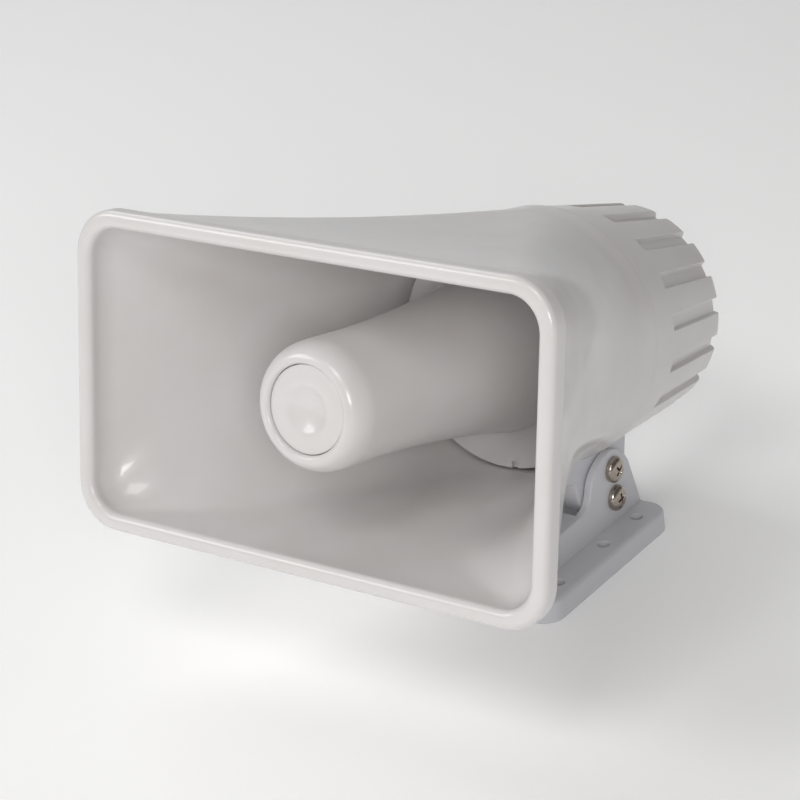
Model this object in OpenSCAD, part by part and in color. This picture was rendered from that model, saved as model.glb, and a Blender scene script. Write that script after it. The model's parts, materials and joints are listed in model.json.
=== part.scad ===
// Re-entrant horn loudspeaker on a two-ear tilting bracket.
//
// Frame: origin at the centre of the bracket's underside, +X to the right, +Y to the rear,
// +Z up. The mouth of the horn looks along -Y.
// The horn has its own frame, which in_horn() places: the origin at the centre of the mouth,
// +Y back along the horn's axis. Depths are measured from the mouth along that axis.

/* [Mouth and bell] */
// Width of the mouth over its rim
mouth_w = 203; // [195:1:210]
// Height of the mouth over its rim
mouth_h = 118; // [114:1:122]
// Radius of the mouth's corners
mouth_corner_r = 17; // [13:0.5:20]
// Depth of the thick rim round the mouth
rim_depth = 8; // [6:0.5:10]
// Width of the rim's front face
rim_face = 6.5; // [5:0.5:8]
// How far the rim stands proud of the bell behind it
rim_step = 1.2; // [0.5:0.1:2]
// Outer radius of the round drum that the bell narrows to
drum_r = 50.2; // [49.5:0.1:51]
// Wall thickness of the bell
bell_wall = 2.3; // [2:0.1:2.4]
// Depth of the joint between the bell and the rear cap
seam_depth = 154; // [153:0.5:155]

/* [Reflector] */
// Radius of the reflector cup's straight front part
cup_r = 23.2; // [22:0.1:24]
// Radius of the cup's flared rear lip
cup_lip_r = 31.7; // [30:0.1:33]
// Depth of the cup's foremost point
cup_front = 3.6; // [3:0.1:5]
// Depth of the cup's rear lip
cup_rear = 120; // [116:0.5:122]
// Wall thickness of the cup
cup_wall = 1.9; // [1.6:0.1:2.2]
// Radius of the disc that closes the cup's nose
nose_disc_r = 15.9; // [15:0.1:16.5]
// Outer radius of the central throat tube
tube_r = 10.5; // [10:0.1:11.5]
// Depth of the front face of the throat plate
plate_depth = 128.6; // [127:0.1:130]

/* [Rear cap] */
// Length of the cap behind the seam
cap_len = 62.5; // [61:0.5:64]
// Radius of the cap at the seam
cap_front_r = 49.6; // [49:0.1:50]
// Radius of the cap where its end starts to round
cap_rear_r = 43.3; // [42.8:0.1:44]
// Number of grip ribs round the cap
rib_count = 18; // [12:1:20]
// Width of the groove between two ribs
groove_w = 5.6; // [4.5:0.1:6.5]
// Depth of the groove between two ribs
groove_depth = 2.2; // [1.5:0.1:2.4]

/* [Compression driver] */
// Outer radius of the ring magnet
magnet_r = 29.5; // [27:0.5:29.5]
// Thickness of the ring magnet
magnet_t = 14; // [12:0.5:16]
// Radius of the voice coil's middle
coil_r = 17.6; // [17.5:0.05:17.7]

/* [Bracket] */
// Width of the bracket's base
base_w = 80; // [78:1:90]
// Length of the bracket's base
base_len = 88; // [88:1:92]
// Thickness of the base's flanges
base_t = 9; // [8:0.5:9]
// Corner radius of the base
base_corner_r = 8; // [5:0.5:9]
// Height of the deck in front of the ears
deck_z = 22; // [20:0.5:23]
// Thickness of each ear
ear_t = 3.5; // [3:0.1:4]
// Radius of the mounting holes in the base
mount_hole_r = 2.4; // [2:0.1:2.8]

/* [Tilt joint] */
// How far the horn points above the bracket's plane
tilt = 12.67; // [10:0.01:14]
// Height of the pivot above the bracket's underside
pivot_z = 31.6; // [31:0.1:33]
// Radius from the pivot to the locking screws
lock_r = 12.4; // [12:0.1:13]
// Largest tilt upwards from this position, in degrees
tilt_up = 20; // [5:1:20]
// Largest tilt downwards from this position, in degrees
tilt_down = 15; // [5:1:15]

/* [Hidden] */

WHITE = [0.86, 0.84, 0.82];
COOL_WHITE = [0.78, 0.78, 0.80];
STEEL = [0.72, 0.71, 0.69];
BIG_FN = 96;
SMALL_FN = 40;

// ---- Horn frame ----
pivot_y = 24;
pivot_depth = 163.2;
pivot_drop = 51.15;

// ---- Bell ----
flare_start = rim_depth;
flare_end = 143;
neck_overlap = 1;
corner_steps = 8;
rim_edge_r = 2.5;
drum_in_r = drum_r - bell_wall;
bell_front_a = mouth_w / 2 - rim_step;
bell_front_b = mouth_h / 2 - rim_step;
bell_front_c = mouth_corner_r - rim_step;
throat_in_a = mouth_w / 2 - rim_face;
throat_in_b = mouth_h / 2 - rim_face;
side_power = 1.4;
top_power = 2.4;
upper_corner_power = 0.8;
lower_corner_power = 8;

// ---- Throat plate and driver, as depths ----
plate_t = 3;
plate_r = drum_in_r - 0.5;
plate_hole_r = 8.2;
skirt_t = 2.4;
skirt_end = seam_depth - 1.8;
notch_angle = -84;
notch_w = 3;
notch_depth = 2.6;
land_r = [14, 30];
land_depth = plate_depth + plate_t + 1.9;
gasket_t = 1;
plug_front = land_depth + gasket_t;
plug_back = plug_front + 7.5;
ring_front = plug_back + 2.25;
surround_t = 0.4;
ring_back = ring_front + 8.75;
top_plate_t = 5;
top_plate_back = ring_back + top_plate_t;
magnet_back = top_plate_back + magnet_t;
pole_plate_t = 5;
pole_plate_back = magnet_back + pole_plate_t;
driver_r = 30;
pole_r = coil_r - 1.1;
gap_r = coil_r + 1.1;
surround_in_r = coil_r + 0.65;
surround_out_r = 23.4;
clamp_in_r = surround_out_r - 1.4;
driver_screw_r = 2;
driver_screw_ring_r = 25.8;

// ---- Rear cap, as depths ----
cap_front = seam_depth + 0.3;
cap_end = cap_front + cap_len;
cap_round_start = cap_end - 7;
groove_start = cap_front + 17.5;
cap_wall = 2.2;
cap_floor_t = 2.6;
cap_floor_front = cap_end - 1 - cap_floor_t;
post_ring_r = 35.2;
post_r = 4.2;
post_end = 163.8;
well_r = 4.6;
well_bore_r = 3.7;
well_floor = [post_end + 0.2, post_end + 4.2];
cap_screw_r = 2;
grommet_drop = 22;
grommet_bore_r = 3;

// ---- Foot, lug and bracket ----
lug_half_w = 23.3;
ear_gap = 0.4;
ear_in_x = lug_half_w + ear_gap;
ear_out_x = ear_in_x + ear_t;
lug_r = 20;
lug_wall = 3.6;
foot_front = 121;
foot_rear = 179;
foot_clear = 0.15;
foot_screw_x = 12;
foot_screw_depth = 147.5;
foot_screw_r = 1.9;
screw_r = 2.5;
slot_half_w = 2.8;
insert_r = 3.8;
insert_in_x = 15;
lock_dy = 0.2;
hole_x = 32.6;
hole_ys = [30, 5.5, -27];

function circle_pt(r, a) = [r * cos(a), r * sin(a)];

// Places a child that is built in the horn's own frame.
module in_horn() {
    translate([0, pivot_y, pivot_z])
        rotate([-tilt, 0, 0])
            translate([0, -pivot_depth, pivot_drop])
                children();
}

// Turns a child built along +Z so that it runs back along the horn's axis.
module along_horn() {
    in_horn() rotate([-90, 0, 0]) children();
}

// Solid of revolution on the horn's axis, from points [radius, depth].
module lathe(points) {
    rotate_extrude($fn = BIG_FN) polygon(points);
}

// Round bar on the horn's axis between two depths.
module bar(r, from, to, fn = SMALL_FN) {
    translate([0, 0, from]) cylinder(r = r, h = to - from, $fn = fn);
}

// Copies a child to four places round the horn's axis.
module four_at(ring_r) {
    for (k = [0:3]) rotate(45 + 90 * k) translate([ring_r, 0, 0]) children();
}

// Extrudes a [depth, height] outline sideways, from x = -half_w to half_w.
module sideways(half_w) {
    translate([-half_w, 0, 0]) rotate([90, 0, 90]) linear_extrude(2 * half_w) children();
}

// Repeats a child on the left side as a mirror image.
module both_sides() {
    children();
    mirror([1, 0, 0]) children();
}

// ---------------------------------------------------------------- bell

function flare_t(d) = min(1, max(0, (d - flare_start) / (flare_end - flare_start)));
function ease(front, back, d, power) = back + (front - back) * pow(1 - flare_t(d), power);
function outer_half_w(d) = ease(bell_front_a, drum_r, d, side_power);
function outer_half_h(d) = ease(bell_front_b, drum_r, d, top_power);
function outer_upper(d) = ease(bell_front_c, drum_r, d, upper_corner_power);
function outer_lower(d) = ease(bell_front_c, drum_r, d, lower_corner_power);
function inner_half_w(d) = ease(throat_in_a, drum_in_r, d, side_power);
function inner_half_h(d) = ease(throat_in_b, drum_in_r, d, top_power);
function inner_upper(d) = ease(bell_front_c - 4, drum_in_r, d, upper_corner_power);
function inner_lower(d) = ease(bell_front_c - 4, drum_in_r, d, lower_corner_power);

// One ring of points round a rounded rectangle at depth d. Its lower corners have their own radius.
function ring(a, b, upper, lower, d) = [
    for (k = [0:3], i = [0:corner_steps])
        let (sx = (k == 0 || k == 3) ? 1 : -1, sz = k < 2 ? 1 : -1,
             c = k < 2 ? upper : lower, t = 90 * k + 90 * i / corner_steps)
            [sx * (a - c) + c * cos(t), d, sz * (b - c) + c * sin(t)]
];

RING_N = 4 * (corner_steps + 1);

// Polyhedron through a closed loop of rings, as a tube wall.
module ring_loop(rings) {
    n = len(rings);
    polyhedron(
        points = [for (r = rings) each r],
        faces = [for (i = [0:n - 1], j = [0:RING_N - 1])
            let (a = i * RING_N + j, b = i * RING_N + (j + 1) % RING_N,
                 c = ((i + 1) % n) * RING_N + (j + 1) % RING_N, e = ((i + 1) % n) * RING_N + j)
                each [[a, b, c], [a, c, e]]],
        convexity = 6);
}

// Polyhedron through a stack of rings, closed at both ends.
module ring_stack(rings) {
    n = len(rings);
    last = (n - 1) * RING_N;
    polyhedron(
        points = [for (r = rings) each r],
        faces = concat(
            [for (i = [0:n - 2], j = [0:RING_N - 1])
                let (a = i * RING_N + j, b = i * RING_N + (j + 1) % RING_N,
                     c = b + RING_N, e = a + RING_N)
                    each [[a, b, c], [a, c, e]]],
            [[for (j = [RING_N - 1:-1:0]) j], [for (j = [0:RING_N - 1]) last + j]]),
        convexity = 4);
}

FLARE_STEPS = 12;
function flare_depth(i) = flare_start + (flare_end - flare_start) * i / FLARE_STEPS;

module bell_flare() {
    w = mouth_w / 2;
    h = mouth_h / 2;
    c = mouth_corner_r;
    shy = 0.15;
    outer_end = drum_r - shy;
    inner_end = drum_in_r + 3 * shy;
    neck = flare_end + neck_overlap;
    ring_loop(concat(
        [for (a = [0, 45, 90])
            let (in = rim_edge_r * (1 - sin(a)))
                ring(w - in, h - in, c - in, c - in, rim_edge_r * (1 - cos(a)))],
        [ring(w, h, c, c, rim_depth - 0.6)],
        [for (i = [0:FLARE_STEPS - 1])
            let (d = flare_depth(i))
                ring(outer_half_w(d), outer_half_h(d), outer_upper(d), outer_lower(d), d)],
        [ring(outer_end, outer_end, outer_end, outer_end, flare_end)],
        [ring(outer_end, outer_end, outer_end, outer_end, neck)],
        [ring(inner_end, inner_end, inner_end, inner_end, neck)],
        [for (i = [FLARE_STEPS - 1:-1:1])
            let (d = flare_depth(i))
                ring(inner_half_w(d), inner_half_h(d), inner_upper(d), inner_lower(d), d)],
        [for (out = [0, 0.8])
            let (in_c = bell_front_c - 4 + out, d = out > 0 ? 0 : rim_edge_r / 2)
                ring(throat_in_a + out, throat_in_b + out, in_c, in_c, d)]));
}

module foot_screw_bores(r, low, high) {
    for (x = [-foot_screw_x, foot_screw_x])
        translate([x, foot_screw_depth, low]) cylinder(r = r, h = high - low, $fn = SMALL_FN);
}

module horn_bell() {
    color(WHITE) in_horn() difference() {
        union() {
            bell_flare();
            rotate([-90, 0, 0]) lathe([[drum_in_r, flare_end], [drum_r, flare_end],
                [drum_r, seam_depth], [drum_in_r, seam_depth]]);
        }
        foot_screw_bores(foot_screw_r + 0.05, -drum_r - 4, -drum_in_r + 6);
    }
}

// ---------------------------------------------------------------- reflector

// Outer radius of the cup behind its rounded nose.
function cup_outer(d) =
    cup_r + (cup_lip_r - cup_r) * pow(max(0, (d - 30) / (cup_rear - 30)), 1.9);

NOSE_LEN = 10.4;
NOSE_IN = 5.7;
nose_ring_r = cup_r - NOSE_IN;
CUP_DEPTHS = [30, 45, 58, 70, 80, 90, 99, 107, 114, cup_rear];

cup_outline = concat(
    [[nose_disc_r + 0.05, cup_front + 1.6], [nose_ring_r - 0.9, cup_front + 0.3]],
    [for (a = [0:15:90])
        [nose_ring_r + NOSE_IN * sin(a), cup_front + NOSE_LEN * (1 - cos(a))]],
    [for (d = CUP_DEPTHS) [cup_outer(d), d]]);

cup_inside = concat(
    [[0, cup_front + 6], [nose_ring_r, cup_front + 6], [cup_r - cup_wall, cup_front + 14]],
    [for (d = CUP_DEPTHS) [cup_outer(d) - cup_wall, d]]);

module reflector_cup() {
    color(WHITE) along_horn() difference() {
        lathe(concat([[0, cup_front + 1.6]], cup_outline, [[0, cup_rear]]));
        lathe(concat(cup_inside, [[cup_outer(cup_rear) - cup_wall, cup_rear + 1],
            [0, cup_rear + 1]]));
        bar(nose_disc_r + 0.05, cup_front - 1, cup_front + 7, BIG_FN);
    }
}

module reflector_nose_disc() {
    front = cup_front + 1.6;
    back = cup_front + 6;
    dish_r = 17.5;
    dish_depth = 2.2;
    color(WHITE) along_horn() difference() {
        union() {
            bar(nose_disc_r, front, back, BIG_FN);
            bar(nose_disc_r + 1.4, back, back + 1.6, BIG_FN);
            translate([0, 0, back + 1.6])
                cylinder(r1 = nose_disc_r - 3, r2 = 1.5, h = 11, $fn = BIG_FN);
        }
        translate([0, 0, front + dish_depth - dish_r]) sphere(r = dish_r, $fn = BIG_FN);
    }
}

SPIDER = [60, 84];

module cup_spider() {
    fin_t = 1.8;
    color(WHITE) along_horn() difference() {
        intersection() {
            union() {
                bar(tube_r + 1.8, SPIDER[0], SPIDER[1], BIG_FN);
                for (k = [0:3]) rotate(90 * k + 45)
                    translate([tube_r, -fin_t / 2, SPIDER[0]])
                        cube([20, fin_t, SPIDER[1] - SPIDER[0]]);
            }
            lathe(concat(cup_inside, [[0, cup_rear]]));
        }
        bar(tube_r, SPIDER[0] - 1, SPIDER[1] + 1, BIG_FN);
    }
}

TUBE_FRONT = 26;

module throat_tube() {
    spigot_r = plate_hole_r - 0.1;
    flange_back = land_depth;
    color(WHITE) along_horn() lathe([[9.2, TUBE_FRONT], [tube_r, TUBE_FRONT],
        [tube_r, plate_depth - 0.1], [spigot_r, plate_depth - 0.1],
        [spigot_r, plate_depth + plate_t + 0.1], [land_r[0] - 0.4, plate_depth + plate_t + 0.1],
        [land_r[0] - 0.4, flange_back], [6.4, flange_back]]);
}

// ---------------------------------------------------------------- throat plate

module throat_plate() {
    skirt_in = plate_r - skirt_t;
    plate_back = plate_depth + plate_t;
    color(WHITE) along_horn() difference() {
        union() {
            lathe([[plate_hole_r, plate_depth], [plate_r, plate_depth], [plate_r, skirt_end],
                [skirt_in, skirt_end], [skirt_in, plate_back], [plate_hole_r, plate_back]]);
            lathe([[land_r[0], plate_back - 1], [land_r[1], plate_back - 1],
                [land_r[1], land_depth], [land_r[0], land_depth]]);
            four_at(post_ring_r) bar(post_r, plate_back - 1, post_end);
            intersection() {
                for (x = [-foot_screw_x, foot_screw_x])
                    translate([x, 0, foot_screw_depth]) rotate([-90, 0, 0])
                        translate([0, 0, 37]) cylinder(r = 4.4, h = 10, $fn = SMALL_FN);
                bar(plate_r, plate_back, skirt_end, BIG_FN);
            }
        }
        four_at(post_ring_r) bar(cap_screw_r + 0.02, post_end - 16, post_end + 1);
        four_at(driver_screw_ring_r) bar(driver_screw_r + 0.1, plate_depth - 1, land_depth + 1);
        for (x = [-foot_screw_x, foot_screw_x])
            translate([x, 0, foot_screw_depth]) rotate([-90, 0, 0])
                translate([0, 0, 38]) cylinder(r = foot_screw_r + 0.02, h = 14, $fn = SMALL_FN);
        rotate(-notch_angle) translate([plate_r - notch_depth, -notch_w / 2, plate_depth - 1])
            cube([6, notch_w, 2.4]);
    }
}

// ---------------------------------------------------------------- compression driver

module driver_gasket() {
    color([0.15, 0.15, 0.15]) along_horn() difference() {
        lathe([[land_r[0], land_depth], [land_r[1], land_depth], [land_r[1], plug_front],
            [land_r[0], plug_front]]);
        four_at(driver_screw_ring_r) bar(driver_screw_r + 0.1, land_depth - 1, plug_front + 1);
    }
}

module phase_plug() {
    slot_r = [13.4, 15.6];
    web_t = 1.6;
    color([0.2, 0.2, 0.21]) along_horn() difference() {
        union() {
            lathe([[6.5, plug_front], [driver_r, plug_front], [driver_r, ring_front],
                [clamp_in_r, ring_front], [clamp_in_r, plug_back], [slot_r[1], plug_back]]);
            translate([0, 0, plug_front])
                cylinder(r1 = 1.2, r2 = slot_r[0], h = plug_back - plug_front, $fn = BIG_FN);
            for (k = [0:2]) rotate(120 * k + 30)
                translate([2, -web_t / 2, plug_front + 3])
                    cube([14.5, web_t, plug_back - plug_front - 3]);
        }
        four_at(driver_screw_ring_r) bar(driver_screw_r + 0.1, plug_front - 1, ring_front + 1);
    }
}

dome_front = ring_front;
DOME_SAG = 4.4;
DOME_T = 0.5;
dome_rim_r = coil_r - 0.6;
dome_sphere_r = (dome_rim_r * dome_rim_r + DOME_SAG * DOME_SAG) / (2 * DOME_SAG);

function dome_pt(r, shift) =
    [r, dome_front + shift + sqrt(pow(dome_sphere_r, 2) - r * r) - (dome_sphere_r - DOME_SAG)];

module diaphragm() {
    steps = [for (k = [0:8]) dome_rim_r * k / 8];
    color([0.45, 0.28, 0.12]) along_horn() union() {
        lathe(concat([for (r = steps) dome_pt(r, 0)],
            [for (k = [8:-1:0]) dome_pt(steps[k], DOME_T)]));
        lathe([[dome_rim_r - 0.6, dome_front], [surround_in_r, dome_front],
            [surround_in_r, dome_front + DOME_T], [dome_rim_r - 0.6, dome_front + DOME_T]]);
    }
}

module coil_former() {
    color([0.75, 0.66, 0.45]) along_horn()
        lathe([[coil_r - 0.5, dome_front + DOME_T], [coil_r - 0.25, dome_front + DOME_T],
            [coil_r - 0.25, ring_back + 5.5], [coil_r - 0.5, ring_back + 5.5]]);
}

module voice_coil() {
    color([0.72, 0.40, 0.20]) along_horn()
        lathe([[coil_r - 0.25, ring_back - 0.5], [coil_r + 0.45, ring_back - 0.5],
            [coil_r + 0.45, ring_back + 5.5], [coil_r - 0.25, ring_back + 5.5]]);
}

module surround() {
    roll_r = 1.1;
    mid = (surround_in_r + clamp_in_r) / 2;
    color([0.30, 0.24, 0.18]) along_horn()
        lathe(concat(
            [[surround_in_r, dome_front], [mid - roll_r, dome_front]],
            [for (a = [150:-30:30]) [mid + roll_r * cos(a), dome_front + roll_r * sin(a)]],
            [[mid + roll_r, dome_front], [surround_out_r, dome_front],
                [surround_out_r, dome_front + surround_t],
                [mid + roll_r, dome_front + surround_t]],
            [for (a = [30:30:150])
                [mid + roll_r * cos(a), dome_front + surround_t + roll_r * sin(a)]],
            [[mid - roll_r, dome_front + surround_t],
                [surround_in_r, dome_front + surround_t]]));
}

module diaphragm_ring() {
    color([0.16, 0.16, 0.17]) along_horn() difference() {
        lathe([[clamp_in_r, ring_front + surround_t], [surround_out_r, ring_front + surround_t],
            [surround_out_r, ring_front], [driver_r, ring_front], [driver_r, ring_back],
            [clamp_in_r, ring_back]]);
        four_at(driver_screw_ring_r) bar(driver_screw_r + 0.1, ring_front - 1, ring_back + 1);
        rotate(-90) terminal_slot();
    }
}

module terminal_slot() {
    translate([driver_r - 2.2, -7, ring_front + 3]) cube([5, 14, 3]);
}

module top_plate() {
    color(STEEL) along_horn() difference() {
        bar(driver_r, ring_back, top_plate_back, BIG_FN);
        bar(gap_r, ring_back - 1, top_plate_back + 1, BIG_FN);
        four_at(driver_screw_ring_r)
            bar(driver_screw_r + 0.02, ring_back - 1, top_plate_back + 1);
    }
}

module ring_magnet() {
    color([0.13, 0.13, 0.14]) along_horn()
        lathe([[gap_r + 1.4, top_plate_back], [magnet_r, top_plate_back],
            [magnet_r, magnet_back], [gap_r + 1.4, magnet_back]]);
}

module pole_plate() {
    color(STEEL) along_horn() difference() {
        lathe([[0, ring_back - 0.2], [pole_r, ring_back - 0.2], [pole_r, magnet_back],
            [magnet_r - 0.5, magnet_back], [magnet_r - 0.5, pole_plate_back],
            [0, pole_plate_back]]);
        bar(4, ring_back - 1, magnet_back - 2);
    }
}

module pan_screw(r, head_r, head_h, length) {
    translate([0, 0, -head_h]) difference() {
        union() {
            cylinder(r1 = head_r * 0.82, r2 = head_r, h = head_h * 0.45, $fn = SMALL_FN);
            translate([0, 0, head_h * 0.45])
                cylinder(r = head_r, h = head_h * 0.55, $fn = SMALL_FN);
        }
        for (a = [0, 90]) rotate(a)
            translate([-head_r * 0.5, -r * 0.16, -1]) cube([head_r, r * 0.32, 1 + head_h * 0.6]);
    }
    cylinder(r = r, h = length, $fn = SMALL_FN);
}

module driver_screws() {
    color(STEEL) along_horn() four_at(driver_screw_ring_r)
        translate([0, 0, plate_depth])
            pan_screw(driver_screw_r, 3.6, 2.4, ring_back + 4 - plate_depth);
}

// ---------------------------------------------------------------- wiring inside the cap

TERMINAL_SPLIT = 4;

module terminal_strip() {
    color([0.55, 0.35, 0.16]) along_horn() rotate(-90) difference() {
        translate([driver_r - 2.2, -7, ring_front + 3.1]) cube([5, 14, 2.8]);
        for (y = [-TERMINAL_SPLIT, TERMINAL_SPLIT])
            translate([driver_r - 1, y - 1.5, ring_front + 4.1]) cube([6, 3, 0.8]);
    }
}

module terminal_tags() {
    color([0.80, 0.72, 0.45]) along_horn() rotate(-90)
        for (y = [-TERMINAL_SPLIT, TERMINAL_SPLIT])
            translate([driver_r - 1, y - 1.5, ring_front + 4.1]) cube([6.2, 3, 0.8]);
}

WIRE_R = 0.75;
WIRE_SIDES = 8;
// Route of one lead, as [height above the axis, depth].
WIRE_ROUTE = [[33.6, 149.2], [33.8, 154], [34, 162], [33.4, 170], [31, 177], [26.5, 181],
    [20, 182.5], [12, 182.5], [5, 182.5]];

// Tube of WIRE_SIDES sides swept along the route in the plane x = const.
module wire(x) {
    n = len(WIRE_ROUTE);
    points = [for (i = [0:n - 1], j = [0:WIRE_SIDES - 1])
        let (a = WIRE_ROUTE[max(0, i - 1)], b = WIRE_ROUTE[min(n - 1, i + 1)],
             s = b - a, u = s / norm(s), t = 360 * j / WIRE_SIDES)
            [x + WIRE_R * cos(t), WIRE_ROUTE[i][1] - WIRE_R * sin(t) * u[0],
                WIRE_ROUTE[i][0] + WIRE_R * sin(t) * u[1]]];
    faces = concat(
        [for (i = [0:n - 2], j = [0:WIRE_SIDES - 1])
            let (a = i * WIRE_SIDES + j, b = i * WIRE_SIDES + (j + 1) % WIRE_SIDES)
                each [[a, a + WIRE_SIDES, b + WIRE_SIDES], [a, b + WIRE_SIDES, b]]],
        [[for (j = [0:WIRE_SIDES - 1]) j],
            [for (j = [WIRE_SIDES - 1:-1:0]) (n - 1) * WIRE_SIDES + j]]);
    polyhedron(points = points, faces = faces, convexity = 4);
}

module lead_wires() {
    color([0.70, 0.10, 0.08]) in_horn()
        for (x = [-TERMINAL_SPLIT, TERMINAL_SPLIT]) wire(x);
}

BLOCK = [17, 10, 11];
block_front = pole_plate_back;
wire_depth = block_front + BLOCK[2] / 2;

module terminal_block() {
    color([0.88, 0.88, 0.84]) in_horn() difference() {
        translate([-BLOCK[0] / 2, block_front, 1]) cube([BLOCK[0], BLOCK[2], BLOCK[1]]);
        for (x = [-TERMINAL_SPLIT, TERMINAL_SPLIT]) {
            translate([x, wire_depth, 3]) cylinder(r = 1.6, h = 10, $fn = SMALL_FN);
            translate([x, wire_depth, 6]) rotate([-90, 0, 0])
                cylinder(r = 1.75, h = 10, $fn = SMALL_FN);
        }
    }
}

module terminal_screws() {
    color(STEEL) in_horn() for (x = [-TERMINAL_SPLIT, TERMINAL_SPLIT])
        translate([x, wire_depth + 1.7, 6]) rotate([-90, 0, 0]) difference() {
            cylinder(r = 1.7, h = 3.4, $fn = SMALL_FN);
            translate([-3, -0.3, 2.6]) cube([6, 0.6, 2]);
        }
}

// ---------------------------------------------------------------- rear cap

cone_slope = (cap_front_r - cap_rear_r) / (cap_round_start - cap_front);
function cap_outer(d) = cap_front_r - cone_slope * (d - cap_front);

// Outline of the cap's outside, sunk by a given depth, from the seam to the end face.
function cap_skin(sink) = [
    [cap_front_r - sink, cap_front], [cap_rear_r - sink, cap_round_start],
    [cap_rear_r - sink - 0.5, cap_end - 3.4], [cap_rear_r - sink - 1.6, cap_end - 1.2],
    [cap_rear_r - sink - 3.2, cap_end]
];

module cap_body() {
    lathe(concat([[0, cap_front]], cap_skin(groove_depth), [[0, cap_end]]));
    difference() {
        lathe(concat([[0, cap_front]], cap_skin(0), [[0, cap_end]]));
        for (k = [0:rib_count - 1]) rotate((k + 0.5) * 360 / rib_count)
            translate([cap_rear_r - 9, -groove_w / 2, groove_start])
                cube([20, groove_w, cap_len]);
        bar(cap_rear_r - 6, cap_end - 1, cap_end + 1, BIG_FN);
    }
}

module rear_cap() {
    inner = groove_depth + cap_wall;
    spigot_out = plate_r - skirt_t - 0.2;
    spigot_in = spigot_out - 1.6;
    color(WHITE) along_horn() difference() {
        union() {
            difference() {
                cap_body();
                lathe([[0, cap_front - 1], [cap_front_r - inner, cap_front - 1],
                    [cap_front_r - inner, cap_front], [cap_outer(cap_floor_front) - inner - 0.6,
                    cap_floor_front], [0, cap_floor_front]]);
            }
            lathe([[spigot_in, skirt_end + 0.3], [spigot_out, skirt_end + 0.3],
                [spigot_out, cap_front], [spigot_out + 1, cap_front],
                [spigot_out + 1, cap_front + 2], [spigot_in, cap_front + 2]]);
            four_at(post_ring_r) bar(well_r, well_floor[0], cap_floor_front + 1);
        }
        bar(cap_rear_r - 6, cap_end - 1, cap_end + 1, BIG_FN);
        four_at(post_ring_r) bar(well_bore_r, well_floor[1], cap_end + 1);
        four_at(post_ring_r) bar(cap_screw_r + 0.15, well_floor[0] - 1, well_floor[1] + 1);
        translate([0, grommet_drop, 0]) bar(5.5, cap_floor_front - 1, cap_end + 1);
    }
}

module cap_seal() {
    section_r = 0.85;
    color([0.10, 0.10, 0.10]) along_horn()
        translate([0, 0, seam_depth - 0.7]) rotate_extrude($fn = BIG_FN)
            translate([plate_r - skirt_t / 2, 0]) circle(r = section_r, $fn = 24);
}

module cap_screws() {
    color(STEEL) along_horn() four_at(post_ring_r)
        translate([0, 0, well_floor[1]]) mirror([0, 0, 1]) pan_screw(cap_screw_r, 3.4, 2.4, 19);
}

module cable_grommet() {
    floor_front = cap_floor_front;
    floor_back = cap_floor_front + cap_floor_t;
    color([0.12, 0.12, 0.12]) along_horn() translate([0, grommet_drop, 0])
        rotate_extrude($fn = SMALL_FN) polygon([
            [grommet_bore_r, floor_front - 2], [7, floor_front - 2], [7, floor_front],
            [5.4, floor_front], [5.4, floor_back], [7, floor_back], [6.4, floor_back + 2.2],
            [grommet_bore_r, floor_back + 2.2]]);
}

// ---------------------------------------------------------------- foot under the horn

lock_angle = atan2(-lock_r, lock_dy) + tilt;
lug_centre = [pivot_depth, -pivot_drop];

// The outer form of bell, drum and cap, grown by a small clearance.
module horn_outside(grow) {
    front = foot_front - 6;
    ring_stack([for (d = [front, foot_front + 6, (foot_front + flare_end) / 2, flare_end])
        ring(outer_half_w(d) + grow, outer_half_h(d) + grow, outer_upper(d) + grow,
            outer_lower(d) + grow, d)]);
    rotate([-90, 0, 0]) lathe([[0, flare_end - 2], [drum_r + grow + 0.6, flare_end - 2],
        [drum_r + grow + 0.02, flare_end + 0.2], [drum_r + grow + 0.02, cap_front],
        [cap_front_r + grow, cap_front], [cap_rear_r + grow, cap_round_start],
        [0, cap_round_start]]);
}

module foot_outline() {
    polygon([[foot_front, -46], [foot_front, -drum_r - 0.5], [150, -54.6], [foot_rear, -54.6],
        [foot_rear, -36], [150, -36]]);
    intersection() {
        translate(lug_centre) circle(r = lug_r, $fn = BIG_FN);
        translate([foot_front, -90]) square([foot_rear - foot_front, 60]);
    }
}

// Slot on an arc round the pivot that lets the locking screw pass at every tilt.
module lock_slot_outline() {
    a0 = lock_angle - tilt_down - 1.5;
    a1 = lock_angle + tilt_up + 1.5;
    n = 12;
    translate(lug_centre) polygon(concat(
        [for (i = [0:n]) circle_pt(lock_r + slot_half_w, a0 + (a1 - a0) * i / n)],
        [for (i = [1:n - 1])
            circle_pt(lock_r, a1) + circle_pt(slot_half_w, a1 + 180 * i / n)],
        [for (i = [0:n]) circle_pt(lock_r - slot_half_w, a1 - (a1 - a0) * i / n)],
        [for (i = [1:n - 1])
            circle_pt(lock_r, a0) + circle_pt(slot_half_w, a0 + 180 + 180 * i / n)]));
}

module mount_foot() {
    inner_x = lug_half_w - lug_wall;
    color(COOL_WHITE) in_horn() difference() {
        sideways(lug_half_w) foot_outline();
        horn_outside(foot_clear);
        translate([-inner_x, 150, -80]) cube([2 * inner_x, 40, 24]);
        both_sides() translate([insert_in_x, 0, 0]) rotate([90, 0, 90])
            linear_extrude(20) translate(lug_centre)
                circle(r = insert_r + 0.02, $fn = SMALL_FN);
        sideways(lug_half_w + 1) lock_slot_outline();
        foot_screw_bores(foot_screw_r + 0.15, -70, -40);
        foot_screw_bores(4, -75, -58);
    }
}

module foot_screws() {
    color(STEEL) in_horn() for (x = [-foot_screw_x, foot_screw_x])
        translate([x, foot_screw_depth, -58]) pan_screw(foot_screw_r, 3.6, 2.2, 19);
}

// ---------------------------------------------------------------- tilt joint hardware

// Places a child whose screw axis is +Z at a joint screw, head side outwards on +X.
module at_joint(y, z, x) {
    both_sides() translate([x, y, z]) rotate([0, -90, 0]) children();
}

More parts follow.
